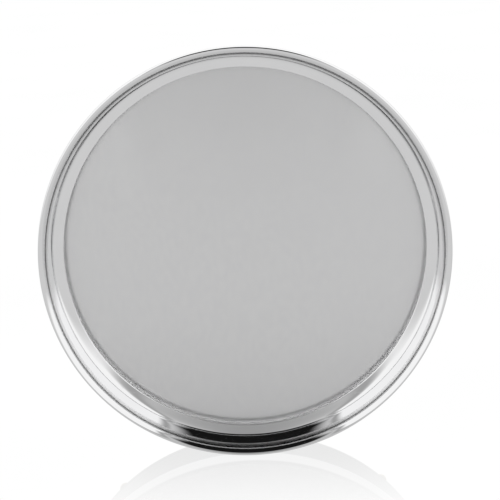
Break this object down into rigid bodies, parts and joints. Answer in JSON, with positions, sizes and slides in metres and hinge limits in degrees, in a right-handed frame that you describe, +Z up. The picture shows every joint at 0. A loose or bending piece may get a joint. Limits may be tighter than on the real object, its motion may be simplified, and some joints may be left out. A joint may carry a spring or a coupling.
{
  "type": "round easel display frame",
  "caption": "Round tabletop display frame: polished rolled-edge bezel with a coved inner wall round a glazed blank field, turn buttons and a folding easel strut behind",
  "frame": {"origin": "middle of the underside of the bounding box, on the surface that the frame stands on", "axes": "+Z up; the glazed face looks along -Y and leans 5 degrees back; +X to the viewer's right; +Y runs out of the back, the way the easel strut opens"},
  "size_m": [0.13, 0.0506, 0.1296],
  "materials": {
    "polished_steel": "mirror polished spun sheet metal",
    "rim_wire_steel": "drawn wire",
    "ring_paint": "satin black, turned ring",
    "seal_gasket": "matt black flat gasket",
    "window_glass": "clear float glass",
    "spacer_card": "smooth grey card edge",
    "insert_card": "light grey, satin laminated, blank",
    "foam": "closed cell foam sheet",
    "back_hardboard": "brown hardboard",
    "velvet": "black flocked velvet paper",
    "button_brass": "stamped brass, lightly brushed",
    "screw_brass": "brass plated, slotted",
    "hinge_steel": "zinc plated pressed steel",
    "pin_steel": "bright steel wire, peened ends",
    "rivet_steel": "zinc plated",
    "strut_hardboard": "black stained hardboard",
    "shoe_rubber": "moulded black rubber",
    "foot_silicone": "clear soft bumper"
  },
  "bodies": {
    "frame": {"front_bezel": "polished_steel", "rim_wire": "rim_wire_steel", "backing_ring": "ring_paint", "glass_seal": "seal_gasket", "window_glass": "window_glass", "spacer_ring": "spacer_card", "insert_board": "insert_card", "foam_disc": "foam", "back_board": "back_hardboard", "back_velvet": "velvet", "turn_button_washers": "screw_brass", "turn_button_screws": "screw_brass", "hinge_bracket": "hinge_steel", "bracket_rivets": "rivet_steel", "hinge_pin": "pin_steel", "bumper_feet": "foot_silicone"},
    "strut": {"hinge_leaf": "hinge_steel", "strut_board": "strut_hardboard", "strut_velvet": "velvet", "leaf_rivets": "rivet_steel", "strut_shoe": "shoe_rubber"},
    "button_1": {"turn_button_1": "button_brass"},
    "button_2": {"turn_button_2": "button_brass"},
    "button_3": {"turn_button_3": "button_brass"},
    "button_4": {"turn_button_4": "button_brass"}
  },
  "joints": [
    {"name": "strut_hinge", "type": "hinge", "parent": "frame", "child": "strut", "pos_m": [0, 0.00697, 0.08185], "axis": [1, 0, 0], "range_deg": [-17, 0]},
    {"name": "button_turn_1", "type": "hinge", "parent": "frame", "child": "button_1", "pos_m": [0.04313, 0.00614, 0.10615], "axis": [0, 0.9962, -0.0872], "continuous": true},
    {"name": "button_turn_2", "type": "hinge", "parent": "frame", "child": "button_2", "pos_m": [-0.04313, 0.00614, 0.10615], "axis": [0, 0.9962, -0.0872], "continuous": true},
    {"name": "button_turn_3", "type": "hinge", "parent": "frame", "child": "button_3", "pos_m": [-0.04313, -0.00138, 0.02021], "axis": [0, 0.9962, -0.0872], "continuous": true},
    {"name": "button_turn_4", "type": "hinge", "parent": "frame", "child": "button_4", "pos_m": [0.04313, -0.00138, 0.02021], "axis": [0, 0.9962, -0.0872], "continuous": true}
  ]
}
